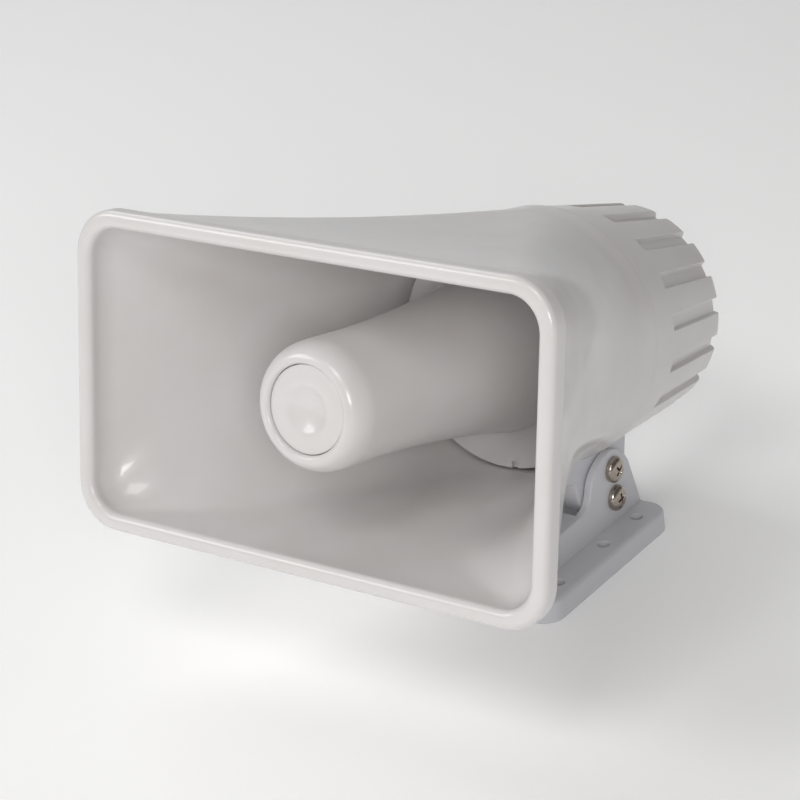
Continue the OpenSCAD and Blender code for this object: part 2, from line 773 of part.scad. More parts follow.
module pivot_inserts() {
    color([0.80, 0.65, 0.30]) at_joint(pivot_y, pivot_z, lug_half_w)
        difference() {
            cylinder(r = insert_r, h = lug_half_w - insert_in_x, $fn = SMALL_FN);
            translate([0, 0, -1]) cylinder(r = screw_r + 0.02, h = 20, $fn = SMALL_FN);
        }
}

module pivot_screws() {
    color(STEEL) at_joint(pivot_y, pivot_z, ear_out_x + 0.1) pan_screw(screw_r, 5.2, 3.3, 11.5);
}

module lock_screws() {
    color(STEEL) at_joint(pivot_y + lock_dy, pivot_z - lock_r, ear_out_x)
        pan_screw(screw_r, 5.2, 3.3, 14);
}

washer_x = lug_half_w - lug_wall - 0.4;

module lock_washers() {
    color(STEEL) at_joint(pivot_y + lock_dy, pivot_z - lock_r, washer_x) difference() {
        cylinder(r = 4.8, h = 1, $fn = SMALL_FN);
        translate([0, 0, -1]) cylinder(r = screw_r + 0.1, h = 3, $fn = SMALL_FN);
    }
}

module lock_nuts() {
    color(STEEL) at_joint(pivot_y + lock_dy, pivot_z - lock_r, washer_x - 1) difference() {
        cylinder(r = 4.6, h = 4, $fn = 6);
        translate([0, 0, -1]) cylinder(r = screw_r + 0.02, h = 6, $fn = SMALL_FN);
    }
}

// ---------------------------------------------------------------- bracket

EAR_TOP_R = 8;
// Side outline of one ear with the low wall in front of it, as [y, z].
ear_outline = [
    [-38, 0], [-38, base_t], [-31, deck_z - 2.5], [-27, deck_z], [1, deck_z],
    [4.8, deck_z + 1.6], [7.2, deck_z + 5], [9, deck_z + 10], [13, deck_z + 14],
    [pivot_y - 4.8, pivot_z + 6.4], [pivot_y, pivot_z + 4], [pivot_y + 5.2, pivot_z + 6.08],
    [pivot_y + 9.6, pivot_z + 2.6], [pivot_y + 12.2, pivot_z - 1.6], [43, base_t], [43, 0]
];
DECK_T = 3;
BLOCK_WALL = 3.5;

module base_slab() {
    r = base_corner_r;
    x = base_w / 2;
    y = base_len / 2;
    for (sx = [-1, 1], sy = [-1, 1])
        translate([sx * (x - r), sy * (y - r), 0]) cylinder(r = r, h = base_t, $fn = SMALL_FN);
    translate([-x + r, -y, 0]) cube([base_w - 2 * r, base_len, base_t]);
    translate([-x, -y + r, 0]) cube([base_w, base_len - 2 * r, base_t]);
}

module front_block() {
    sideways(ear_out_x) polygon([[-38, 0], [-38, base_t], [-31, deck_z - 2.5], [-27, deck_z],
        [1, deck_z], [1, 0]]);
}

module bracket_base() {
    color(COOL_WHITE) difference() {
        union() {
            base_slab();
            front_block();
            both_sides() translate([ear_in_x, 0, 0]) rotate([90, 0, 90])
                linear_extrude(ear_t) union() {
                    polygon(ear_outline);
                    translate([pivot_y, pivot_z]) circle(r = EAR_TOP_R, $fn = BIG_FN);
                }
        }
        // hollow under the deck, open below
        translate([-ear_in_x, -38 + BLOCK_WALL + 3, -1])
            cube([2 * ear_in_x, 39 - 2 * BLOCK_WALL - 3, base_t + 1]);
        sideways(ear_in_x) polygon([[-34.5 + 3, base_t - 1], [-34.5 + 3, base_t],
            [-28, deck_z - DECK_T - 2], [-26, deck_z - DECK_T], [1 - BLOCK_WALL, deck_z - DECK_T],
            [1 - BLOCK_WALL, base_t - 1]]);
        for (x = [-hole_x, hole_x], y = hole_ys)
            translate([x, y, -1]) cylinder(r = mount_hole_r, h = base_t + 2, $fn = SMALL_FN);
        translate([-40, pivot_y, pivot_z]) rotate([0, 90, 0])
            cylinder(r = screw_r + 0.1, h = 80, $fn = SMALL_FN);
        translate([-40, pivot_y + lock_dy, pivot_z - lock_r]) rotate([0, 90, 0])
            cylinder(r = screw_r + 0.05, h = 80, $fn = SMALL_FN);
    }
}

horn_bell();
throat_plate();
throat_tube();
reflector_cup();
reflector_nose_disc();
cup_spider();
phase_plug();
driver_gasket();
diaphragm();
coil_former();
voice_coil();
surround();
diaphragm_ring();
top_plate();
ring_magnet();
pole_plate();
driver_screws();
terminal_strip();
terminal_tags();
lead_wires();
terminal_block();
terminal_screws();
rear_cap();
cap_seal();
cap_screws();
cable_grommet();
mount_foot();
foot_screws();
pivot_inserts();
pivot_screws();
bracket_base();
lock_screws();
lock_nuts();
lock_washers();
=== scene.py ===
"""Re-entrant horn loudspeaker on its tilting bracket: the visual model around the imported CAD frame.

All Blender objects are in metres in the row frame. The shapes below are written in
millimetres, most of them in the horn's own frame: x to the side, depth back from the
mouth along the horn's axis, and height above that axis.
"""
import json
import math

import bmesh
import bpy
from mathutils import Matrix, Vector


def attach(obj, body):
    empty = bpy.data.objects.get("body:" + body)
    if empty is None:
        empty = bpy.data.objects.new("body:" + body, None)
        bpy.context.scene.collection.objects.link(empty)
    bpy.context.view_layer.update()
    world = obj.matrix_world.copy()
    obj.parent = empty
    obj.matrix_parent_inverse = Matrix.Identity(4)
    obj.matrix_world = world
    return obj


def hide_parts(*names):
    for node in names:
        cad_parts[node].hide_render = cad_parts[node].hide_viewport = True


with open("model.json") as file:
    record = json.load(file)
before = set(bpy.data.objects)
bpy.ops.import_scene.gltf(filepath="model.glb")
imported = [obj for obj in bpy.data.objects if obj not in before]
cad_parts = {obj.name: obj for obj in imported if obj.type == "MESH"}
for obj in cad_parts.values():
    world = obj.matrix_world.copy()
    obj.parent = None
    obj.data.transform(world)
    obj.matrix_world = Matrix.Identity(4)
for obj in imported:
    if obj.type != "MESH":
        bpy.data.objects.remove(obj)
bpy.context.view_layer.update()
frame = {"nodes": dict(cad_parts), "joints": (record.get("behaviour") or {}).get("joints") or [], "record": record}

MM = 0.001
RECORD = frame["record"]
JOINTS = {j["name"]: j for j in frame["joints"]}
PIVOT = Vector(JOINTS["horn_tilt"]["pos_m"]) / MM
HORN_AXIS = Vector(JOINTS["diaphragm_travel"]["axis"]).normalized()
TILT = math.atan2(-HORN_AXIS.z, HORN_AXIS.y)
PIVOT_DEPTH = 163.2
PIVOT_DROP = 51.15

# Horn frame (x, depth, height) to row frame, both in millimetres.
HORN = (Matrix.Translation(PIVOT) @ Matrix.Rotation(-TILT, 4, "X")
        @ Matrix.Translation((0, -PIVOT_DEPTH, PIVOT_DROP)))
ROW = Matrix.Identity(4)

CAMERA_POS = (0.52278, -0.72638, 0.48322)
CAMERA_RIGHT = (0.80917, 0.57695, -0.11124)
CAMERA_UP = (-0.16157, 0.40051, 0.90193)
CAMERA_LENS = 116.53

ROUND = 192


# ------------------------------------------------------------------ mesh helpers

def make_object(name, verts, faces, place=ROW, sharp_deg=38):
    """Mesh object from points in millimetres, placed by a matrix, smooth except at sharp edges."""
    bm = bmesh.new()
    made = [bm.verts.new((place @ Vector(v)) * MM) for v in verts]
    for f in faces:
        if len(set(f)) > 2:
            try:
                bm.faces.new([made[i] for i in dict.fromkeys(f)])
            except ValueError:
                pass
    bmesh.ops.remove_doubles(bm, verts=bm.verts, dist=1e-7)
    bmesh.ops.recalc_face_normals(bm, faces=bm.faces)
    mesh = bpy.data.meshes.new(name)
    bm.to_mesh(mesh)
    bm.free()
    obj = bpy.data.objects.new(name, mesh)
    bpy.context.scene.collection.objects.link(obj)
    shade(obj, sharp_deg)
    return obj


def shade(obj, sharp_deg):
    """Smooth shading with edges over an angle kept sharp."""
    bm = bmesh.new()
    bm.from_mesh(obj.data)
    for f in bm.faces:
        f.smooth = True
    limit = math.radians(sharp_deg)
    for e in bm.edges:
        e.smooth = len(e.link_faces) != 2 or e.calc_face_angle(0) < limit
    bm.to_mesh(obj.data)
    bm.free()


def apply_modifiers(obj):
    dg = bpy.context.evaluated_depsgraph_get()
    dg.update()
    mesh = bpy.data.meshes.new_from_object(obj.evaluated_get(dg))
    obj.modifiers.clear()
    old = obj.data
    obj.data = mesh
    bpy.data.meshes.remove(old)


def boolean(obj, other, operation, sharp_deg=38):
    """Cuts or joins another object into obj and removes the other."""
    mod = obj.modifiers.new("cut", "BOOLEAN")
    mod.operation = operation
    mod.solver = "EXACT"
    mod.object = other
    bpy.context.view_layer.update()
    apply_modifiers(obj)
    bpy.data.objects.remove(other)
    shade(obj, sharp_deg)
    return obj


def merge(name, objs):
    """One object holding the meshes of several, which are removed."""
    bm = bmesh.new()
    for o in objs:
        bm.from_mesh(o.data)
    mesh = bpy.data.meshes.new(name)
    bm.to_mesh(mesh)
    bm.free()
    for o in objs:
        bpy.data.objects.remove(o)
    obj = bpy.data.objects.new(name, mesh)
    bpy.context.scene.collection.objects.link(obj)
    return obj


def rounded(points, radius, steps=5, closed=True):
    """Polyline with its corners turned into arcs. radius is one value or one per point."""
    n = len(points)
    radii = radius if isinstance(radius, (list, tuple)) else [radius] * n
    out = []
    for i, p in enumerate(points):
        p = Vector((p[0], p[1]))
        r = radii[i]
        if r <= 0 or (not closed and i in (0, n - 1)):
            out.append((p.x, p.y))
            continue
        a = Vector(points[(i - 1) % n][:2]) - p
        b = Vector(points[(i + 1) % n][:2]) - p
        la, lb = a.length, b.length
        if la < 1e-9 or lb < 1e-9:
            out.append((p.x, p.y))
            continue
        a /= la
        b /= lb
        ang = math.acos(max(-1, min(1, a.dot(b))))
        if ang > math.radians(176) or ang < 1e-3:
            out.append((p.x, p.y))
            continue
        t = min(r / math.tan(ang / 2), 0.47 * la, 0.47 * lb)
        r = t * math.tan(ang / 2)
        centre = p + (a + b).normalized() * (r / math.sin(ang / 2))
        s, e = p + a * t - centre, p + b * t - centre
        sweep = math.atan2(s.x * e.y - s.y * e.x, s.dot(e))
        for k in range(steps + 1):
            c, q = math.cos(sweep * k / steps), math.sin(sweep * k / steps)
            out.append((centre.x + s.x * c - s.y * q, centre.y + s.x * q + s.y * c))
    return out


def arc(centre, radius, start, end, steps, ends=True):
    """Points along an arc, with or without its two end points."""
    first, last = (0, steps) if ends else (1, steps - 1)
    points = []
    for k in range(first, last + 1):
        a = start + (end - start) * k / steps
        points.append((centre[0] + radius * math.cos(a), centre[1] + radius * math.sin(a)))
    return points


def spline(points, per=6):
    """Catmull-Rom curve through 2-D points."""
    out = []
    n = len(points)
    for i in range(n - 1):
        p0, p1 = Vector(points[max(0, i - 1)]), Vector(points[i])
        p2, p3 = Vector(points[i + 1]), Vector(points[min(n - 1, i + 2)])
        for k in range(per):
            t = k / per
            v = 0.5 * (2 * p1 + (p2 - p0) * t + (2 * p0 - 5 * p1 + 4 * p2 - p3) * t * t
                       + (3 * p1 - p0 - 3 * p2 + p3) * t ** 3)
            out.append((v.x, v.y))
    out.append(tuple(points[-1]))
    return out


def loft(name, rings, place=ROW, loop=False, caps=False, sharp_deg=38):
    """Surface through rings of equal count. loop joins the last to the first."""
    n = len(rings[0])
    verts = [p for r in rings for p in r]
    faces = []
    count = len(rings)
    for i in range(count if loop else count - 1):
        a, b = i * n, ((i + 1) % count) * n
        for j in range(n):
            k = (j + 1) % n
            faces.append((a + j, a + k, b + k, b + j))
    if caps:
        faces.append(tuple(range(n)))
        faces.append(tuple(range((count - 1) * n, count * n)))
    return make_object(name, verts, faces, place, sharp_deg)


def lathe_place():
    """Local +Z runs back along the horn's axis, local +Y downwards."""
    return HORN @ Matrix.Rotation(-math.pi / 2, 4, "X")


def lathe(name, profile, place=None, segments=ROUND, closed=True, sharp_deg=38):
    """Solid of revolution from [radius, depth] points. A point on the axis becomes a pole."""
    place = lathe_place() if place is None else place
    verts, index = [], []
    for r, d in profile:
        if r < 1e-6:
            index.append([len(verts)] * segments)
            verts.append((0, 0, d))
        else:
            row = []
            for j in range(segments):
                t = 2 * math.pi * j / segments
                row.append(len(verts))
                verts.append((r * math.cos(t), r * math.sin(t), d))
            index.append(row)
    faces = []
    n = len(index)
    for i in range(n if closed else n - 1):
        a, b = index[i], index[(i + 1) % n]
        if a[0] == a[1] and b[0] == b[1]:
            continue
        for j in range(segments):
            k = (j + 1) % segments
            faces.append((a[j], a[k], b[k], b[j]))
    return make_object(name, verts, faces, place, sharp_deg)


def inset(outline, distance):
    """The outline moved inwards. It runs anticlockwise."""
    out = []
    n = len(outline)
    for i in range(n):
        p = Vector(outline[i])
        a = (p - Vector(outline[i - 1])).normalized()
        b = (Vector(outline[(i + 1) % n]) - p).normalized()
        na, nb = Vector((-a.y, a.x)), Vector((-b.y, b.x))
        m = na + nb
        m = m.normalized() if m.length > 1e-6 else na
        out.append(tuple(p + m * (distance / max(0.35, m.dot(na)))))
    return out


def anticlockwise(outline):
    area = sum(outline[i - 1][0] * outline[i][1] - outline[i][0] * outline[i - 1][1]
               for i in range(len(outline)))
    return outline if area > 0 else outline[::-1]


def plate(name, outline, low, high, edge, to3d, place=ROW, steps=4, edge_low=None, sharp_deg=38):
    """Extruded outline with rounded long edges. to3d maps (u, v, w) to a point."""
    outline = anticlockwise([tuple(p) for p in outline])
    edge_low = edge if edge_low is None else edge_low
    rings = []
    for k in range(steps + 1):
        a = math.pi / 2 * k / steps
        rings.append((inset(outline, edge_low * (1 - math.sin(a))),
                      low + edge_low * (1 - math.cos(a))))
    for k in range(steps + 1):
        a = math.pi / 2 * (1 - k / steps)
        rings.append((inset(outline, edge * (1 - math.sin(a))),
                      high - edge * (1 - math.cos(a))))
    return loft(name, [[to3d(u, v, w) for u, v in ring] for ring, w in rings],
                place, caps=True, sharp_deg=sharp_deg)


def side_on(u, v, w):
    """Outline in (y, z) or (depth, height), thickness along x."""
    return (w, u, v)


def plan(u, v, w):
    """Outline in (x, y), thickness along z."""
    return (u, v, w)


def cylinder(name, r, low, high, place, segments=48, chamfer=0.0):
    """Round cutter or bar along local Z, wider by a chamfer at the high end."""
    profile = [(0, low), (r, low)]
    if chamfer:
        profile += [(r, high - chamfer * 2), (r + chamfer, high - chamfer), (r + chamfer, high)]
    else:
        profile += [(r, high)]
    profile.append((0, high))
    return lathe(name, profile, place, segments, closed=False)


# ------------------------------------------------------------------ materials

def new_material(name):
    mat = bpy.data.materials.new(name)
    mat.use_nodes = True
    tree = mat.node_tree
    return mat, tree, tree.nodes["Principled BSDF"]


def noise(tree, coords, scale, detail=3.0, rough=0.5):
    n = tree.nodes.new("ShaderNodeTexNoise")
    n.inputs["Scale"].default_value = scale
    n.inputs["Detail"].default_value = detail
    n.inputs["Roughness"].default_value = rough
    tree.links.new(coords, n.inputs["Vector"])
    return n.outputs["Fac"]


def ramp(tree, value, low, high, out_low, out_high):
    n = tree.nodes.new("ShaderNodeMapRange")
    n.inputs["From Min"].default_value = low
    n.inputs["From Max"].default_value = high
    n.inputs["To Min"].default_value = out_low
    n.inputs["To Max"].default_value = out_high
    tree.links.new(value, n.inputs["Value"])
    return n.outputs["Result"]


def mix(tree, factor, a, b, blend="MIX"):
    n = tree.nodes.new("ShaderNodeMix")
    n.data_type = "RGBA"
    n.blend_type = blend
    for socket, value in ((n.inputs[0], factor), (n.inputs[6], a), (n.inputs[7], b)):
        if isinstance(value, (int, float)):
            socket.default_value = value
        elif isinstance(value, (tuple, list)):
            socket.default_value = (*value[:3], 1)
        else:
            tree.links.new(value, socket)
    return n.outputs[2]


def bump(tree, shader, layers):
    """Chain of bump layers, each (height, strength, distance in metres)."""
    last = None
    for height, strength, distance in layers:
        n = tree.nodes.new("ShaderNodeBump")
        n.inputs["Strength"].default_value = strength
        n.inputs["Distance"].default_value = distance
        tree.links.new(height, n.inputs["Height"])
        if last is not None:
            tree.links.new(last, n.inputs["Normal"])
        last = n.outputs["Normal"]
    tree.links.new(last, shader.inputs["Normal"])


def stretched(tree, coords, scale):
    n = tree.nodes.new("ShaderNodeMapping")
    n.inputs["Scale"].default_value = scale
    tree.links.new(coords, n.inputs["Vector"])
    return n.outputs["Vector"]


def object_coords(tree):
    return tree.nodes.new("ShaderNodeTexCoord").outputs["Object"]


def moulded_plastic(name, colour, rough, coat, grain, tint=(0.97, 0.955, 0.93)):
    """Injection-moulded plastic: faint flow clouds, rubbed edges, painted shade in the
    creases and hollows, and a fine skin texture under a soft gloss."""
    mat, tree, shader = new_material(name)
    xyz = object_coords(tree)
    clouds = ramp(tree, noise(tree, xyz, 26, 4, 0.55), 0.3, 0.7, 0.0, 1.0)
    base = mix(tree, clouds, colour, tuple(c * t for c, t in zip(colour, tint)))
    streaks = noise(tree, stretched(tree, xyz, (60, 9, 60)), 1.0, 3, 0.6)
    base = mix(tree, ramp(tree, streaks, 0.40, 0.75, 0.0, 0.30), base,
               tuple(min(1, c * 1.04) for c in colour))
    edge = tree.nodes.new("ShaderNodeNewGeometry").outputs["Pointiness"]
    base = mix(tree, ramp(tree, edge, 0.53, 0.64, 0.0, 0.30), base,
               tuple(min(1, c * 1.13) for c in colour))
    # Painted shade: darker where the surface folds inwards (low pointiness), in creases and hollows.
    base = mix(tree, ramp(tree, edge, 0.40, 0.47, 0.30, 0.0), base,
               tuple(c * 0.80 for c in colour))
    tree.links.new(base, shader.inputs["Base Color"])
    worn = noise(tree, xyz, 48, 5, 0.65)
    tree.links.new(ramp(tree, worn, 0.3, 0.7, rough - 0.05, rough + 0.09),
                   shader.inputs["Roughness"])
    shader.inputs["IOR"].default_value = 1.5
    shader.inputs["Coat Weight"].default_value = coat
    shader.inputs["Coat Roughness"].default_value = 0.07
    bump(tree, shader, [
        (noise(tree, xyz, 24, 1, 0.3), 0.06, 0.0010),
        (noise(tree, xyz, 650, 3, 0.5), grain, 0.00012),
    ])
    return mat


def plain_plastic(name, colour, rough, grain):
    mat, tree, shader = new_material(name)
    xyz = object_coords(tree)
    base = mix(tree, ramp(tree, noise(tree, xyz, 90, 4, 0.6), 0.3, 0.7, 0, 1), colour,
               tuple(c * 0.72 for c in colour))
    fibres = noise(tree, stretched(tree, xyz, (300, 1500, 300)), 1.0, 2, 0.5)
    base = mix(tree, ramp(tree, fibres, 0.55, 0.8, 0, 0.5), base,
               tuple(min(1, c * 1.6 + 0.02) for c in colour))
    tree.links.new(base, shader.inputs["Base Color"])
    tree.links.new(ramp(tree, noise(tree, xyz, 160, 3), 0.3, 0.7, rough - 0.07, rough + 0.07),
                   shader.inputs["Roughness"])
    bump(tree, shader, [(noise(tree, xyz, 900, 3), grain, 0.0002)])
    return mat


def rubber(name, colour):
    mat, tree, shader = new_material(name)
    xyz = object_coords(tree)
    dust = ramp(tree, noise(tree, xyz, 200, 5, 0.7), 0.45, 0.75, 0, 0.6)
    tree.links.new(mix(tree, dust, colour, (0.20, 0.19, 0.18)), shader.inputs["Base Color"])
    tree.links.new(ramp(tree, noise(tree, xyz, 120, 2), 0.3, 0.7, 0.62, 0.82),
                   shader.inputs["Roughness"])
    bump(tree, shader, [(noise(tree, xyz, 1400, 3), 0.25, 0.0002)])
    return mat


def metal(name, colour, rough, brush=None, stain=(0.55, 0.42, 0.28), stain_amount=0.25):
    """Plated or turned metal with faint tool marks, tarnish, uneven gloss and painted shade in its recesses."""
    mat, tree, shader = new_material(name)
    xyz = object_coords(tree)
    marks = noise(tree, stretched(tree, xyz, brush or (900, 900, 900)), 1.0, 3, 0.6)
    tarnish = ramp(tree, noise(tree, xyz, 240, 4, 0.6), 0.48, 0.72, 0, stain_amount)
    base = mix(tree, tarnish, colour, stain)
    base = mix(tree, ramp(tree, marks, 0.35, 0.7, 0, 0.25), base,
               tuple(c * 0.6 for c in colour))
    edge = tree.nodes.new("ShaderNodeNewGeometry").outputs["Pointiness"]
    # Painted shade: near black where the surface folds inwards, in the cross recesses, thread grooves and other
    # hollows.
    base = mix(tree, ramp(tree, edge, 0.40, 0.48, 0.7, 0.0), base, (0.05, 0.045, 0.04))
    tree.links.new(base, shader.inputs["Base Color"])
    shader.inputs["Metallic"].default_value = 1.0
    tree.links.new(ramp(tree, marks, 0.3, 0.75, rough, rough + 0.16),
                   shader.inputs["Roughness"])
    bump(tree, shader, [(marks, 0.08, 0.0002), (noise(tree, xyz, 1800, 2), 0.05, 0.0001)])
    return mat


def copper(name):
    """Fine enamelled wire wound round the axis of the coil."""
    mat, tree, shader = new_material(name)
    xyz = object_coords(tree)
    turned = tree.nodes.new("ShaderNodeVectorRotate")
    turned.rotation_type = "X_AXIS"
    turned.inputs["Angle"].default_value = TILT
    tree.links.new(xyz, turned.inputs["Vector"])
    wave = tree.nodes.new("ShaderNodeTexWave")
    wave.bands_direction = "Y"
    wave.inputs["Scale"].default_value = 900
    wave.inputs["Distortion"].default_value = 0.4
    tree.links.new(turned.outputs["Vector"], wave.inputs["Vector"])
    turns = wave.outputs["Fac"]
    tree.links.new(mix(tree, turns, (0.30, 0.10, 0.03), (0.78, 0.36, 0.16)),
                   shader.inputs["Base Color"])
    shader.inputs["Metallic"].default_value = 0.85
    tree.links.new(ramp(tree, noise(tree, xyz, 300), 0.3, 0.7, 0.22, 0.36),
                   shader.inputs["Roughness"])
    bump(tree, shader, [(turns, 0.5, 0.0001)])
    return mat


def cloth(name, colour):
    """Resin-treated woven cloth."""
    mat, tree, shader = new_material(name)
    xyz = object_coords(tree)
    threads = []
    for direction in ("X", "Z"):
        wave = tree.nodes.new("ShaderNodeTexWave")
        wave.bands_direction = direction
        wave.inputs["Scale"].default_value = 420
        wave.inputs["Distortion"].default_value = 0.8
        tree.links.new(xyz, wave.inputs["Vector"])
        threads.append(wave.outputs["Fac"])
    weave = tree.nodes.new("ShaderNodeMath")
    weave.operation = "MULTIPLY"
    tree.links.new(threads[0], weave.inputs[0])
    tree.links.new(threads[1], weave.inputs[1])
    tree.links.new(mix(tree, weave.outputs[0], tuple(c * 0.6 for c in colour), colour),
                   shader.inputs["Base Color"])
    tree.links.new(ramp(tree, noise(tree, xyz, 80), 0.3, 0.7, 0.55, 0.75),
                   shader.inputs["Roughness"])
    bump(tree, shader, [(weave.outputs[0], 0.4, 0.0002)])
    return mat


WHITE = (0.725, 0.710, 0.712)
COOL = (0.65, 0.65, 0.68)
MATERIALS = {
    "horn_white": moulded_plastic("white_gloss_plastic", WHITE, 0.33, 0.45, 0.03),
    "bracket_white": moulded_plastic("white_satin_plastic", COOL, 0.42, 0.10, 0.16,
                                     (0.96, 0.96, 0.965)),
    "driver_black": plain_plastic("black_filled_plastic", (0.020, 0.020, 0.022), 0.48, 0.2),
    "seal_rubber": rubber("black_rubber", (0.012, 0.012, 0.012)),
    "grommet_rubber": rubber("grommet_rubber", (0.018, 0.018, 0.018)),
    "phenolic": plain_plastic("phenolic", (0.19, 0.075, 0.022), 0.42, 0.3),
    "former_paper": plain_plastic("former_film", (0.48, 0.36, 0.17), 0.5, 0.15),
    "copper_wire": copper("copper_wire"),
    "surround_cloth": cloth("treated_cloth", (0.085, 0.055, 0.035)),
    "zinc_steel": metal("zinc_steel", (0.58, 0.58, 0.56), 0.30, (500, 500, 30)),
    "ferrite": plain_plastic("ferrite", (0.028, 0.028, 0.031), 0.62, 0.35),
    # Nickel colour darkened and warmed as a painted reflection of dark, warm surroundings that the white stage
    # does not give.
    "screw_nickel": metal("nickel_plate_painted_reflection", (0.46, 0.41, 0.36), 0.17),
    "brass_tag": metal("tinned_brass", (0.72, 0.62, 0.36), 0.28),
    "brass_insert": metal("turned_brass", (0.72, 0.52, 0.20), 0.26, (1400, 60, 60)),
    "wire_red": plain_plastic("red_insulation", (0.34, 0.012, 0.010), 0.38, 0.1),
    "block_plastic": plain_plastic("ivory_plastic", (0.62, 0.60, 0.50), 0.45, 0.15),
}

SLOT_OF = {s["node"]: s["material_slot"] for s in RECORD["subparts"]}


def finish_piece(obj, body, *nodes):
    """Gives a piece the material of its nodes' slot and a body, and hides the nodes."""
    slot = SLOT_OF[nodes[0]]
    obj.data.materials.clear()
    obj.data.materials.append(MATERIALS[slot])
    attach(obj, body)
    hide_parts(*nodes)
    return obj


for node, obj in frame["nodes"].items():
    obj.data.materials.clear()
    obj.data.materials.append(MATERIALS[SLOT_OF[node]])


# ------------------------------------------------------------------ bell

MOUTH_A, MOUTH_B, MOUTH_C = 101.5, 59.0, 17.0
RIM_DEPTH, RIM_STEP, RIM_FACE = 8.0, 1.2, 6.5
DRUM_R, WALL = 50.2, 2.3
DRUM_IN = DRUM_R - WALL
FLARE_END = 143.0
SEAM = 154.0
SIDE_POWER, TOP_POWER = 1.4, 2.4
UPPER_CORNER_POWER, LOWER_CORNER_POWER = 0.8, 8
MOUTH = (MOUTH_A, MOUTH_B, MOUTH_C, MOUTH_C)
DRUM = (DRUM_R,) * 4


def flare_t(d):
    return min(1.0, max(0.0, (d - RIM_DEPTH) / (FLARE_END - RIM_DEPTH)))


def ease(front, back, d, power):
    return back + (front - back) * (1 - flare_t(d)) ** power


def outer_form(d):
    return (ease(MOUTH_A - RIM_STEP, DRUM_R, d, SIDE_POWER),
            ease(MOUTH_B - RIM_STEP, DRUM_R, d, TOP_POWER),
            ease(MOUTH_C - RIM_STEP, DRUM_R, d, UPPER_CORNER_POWER),
            ease(MOUTH_C - RIM_STEP, DRUM_R, d, LOWER_CORNER_POWER))


def inner_form(d):
    return (ease(MOUTH_A - RIM_FACE, DRUM_IN, d, SIDE_POWER),
            ease(MOUTH_B - RIM_FACE, DRUM_IN, d, TOP_POWER),
            ease(MOUTH_C - RIM_STEP - 4, DRUM_IN, d, UPPER_CORNER_POWER),
            ease(MOUTH_C - RIM_STEP - 4, DRUM_IN, d, LOWER_CORNER_POWER))


QUADRANT = 64
CORNER_CROWDING = 0.62
ANGLES = []
for q in range(4):
    for i in range(QUADRANT):
        u = i / QUADRANT
        shift = CORNER_CROWDING * math.sin(2 * math.pi * u) / (2 * math.pi)
        ANGLES.append(math.radians(90 * (q + u + shift)))


def oval(form, d, grow=0.0):
    """Ring at depth d on a rounded rectangle. form is its half sizes and its upper and
    lower corner radii."""
    a, b = form[0] + grow, form[1] + grow
    ring = []
    for t in ANGLES:
        c = min((form[2] if math.sin(t) >= 0 else form[3]) + grow, a, b)
        x, y = a * abs(math.cos(t)), b * abs(math.sin(t))
        if x > 1e-9 and y * a / x <= b - c:
            s = a / x
        elif y > 1e-9 and x * b / y <= a - c:
            s = b / y
        else:
            cx, cy = a - c, b - c
            qa = x * x + y * y
            qb = -2 * (x * cx + y * cy)
            qc = cx * cx + cy * cy - c * c
            s = (-qb + math.sqrt(max(0, qb * qb - 4 * qa * qc))) / (2 * qa)
        ring.append((s * x * (1 if math.cos(t) >= 0 else -1), d,
                     s * y * (1 if math.sin(t) >= 0 else -1)))
    return ring


def make_bell():
    """One closed skin: lip, rim band, flare and drum outside, then back along the inside."""
    rings = []
    edge, inner_edge, lip_steps = 2.5, 2.6, 8
    for k in range(lip_steps + 1):
        a = math.pi / 2 * k / lip_steps
        rings.append(oval(MOUTH, edge * (1 - math.cos(a)), -edge * (1 - math.sin(a))))
    for d in (4.2, 6.2):
        rings.append(oval(MOUTH, d))
    band = 0.45
    for k in range(5):
        a = math.pi / 2 * k / 4
        rings.append(oval(MOUTH, RIM_DEPTH - 0.7 - band + band * math.sin(a),
                          -band * (1 - math.cos(a))))
    rings.append(oval(outer_form(RIM_DEPTH), RIM_DEPTH - 0.35, 0.25))
    steps = 54
    for i in range(steps + 1):
        d = RIM_DEPTH + (FLARE_END - RIM_DEPTH) * i / steps
        rings.append(oval(outer_form(d), d))
    for d, grow in ((147, 0), (151, 0), (153.4, 0), (153.85, -0.15), (154, -0.6)):
        rings.append(oval(DRUM, d, grow))
    for d, grow in ((154, 0.5), (153.8, 0.1), (153.2, 0), (148, 0)):
        rings.append(oval((DRUM_IN,) * 4, d, grow))
    for i in range(steps, 0, -1):
        d = RIM_DEPTH + (FLARE_END - RIM_DEPTH) * i / steps
        rings.append(oval(inner_form(d), d))
    front = inner_form(0)
    for d in (6, 4.2, 3.2):
        rings.append(oval(front, d))
    for k in range(lip_steps + 1):
        a = math.pi / 2 * k / lip_steps
        rings.append(oval(front, inner_edge * (1 - math.sin(a)),
                          inner_edge * (1 - math.cos(a))))
    return loft("bell", rings, HORN, loop=True, sharp_deg=50)


finish_piece(make_bell(), "horn", "horn_bell")


# ------------------------------------------------------------------ reflector

CUP_R, LIP_R, CUP_FRONT, CUP_REAR, CUP_WALL = 23.2, 31.7, 3.6, 120.0, 1.9
NOSE_IN, NOSE_LEN = 5.7, 10.4
DISC_R = 15.9
NOSE_RING = CUP_R - NOSE_IN


def cup_outer(d):
    return CUP_R + (LIP_R - CUP_R) * (max(0.0, d - 30) / (CUP_REAR - 30)) ** 1.9


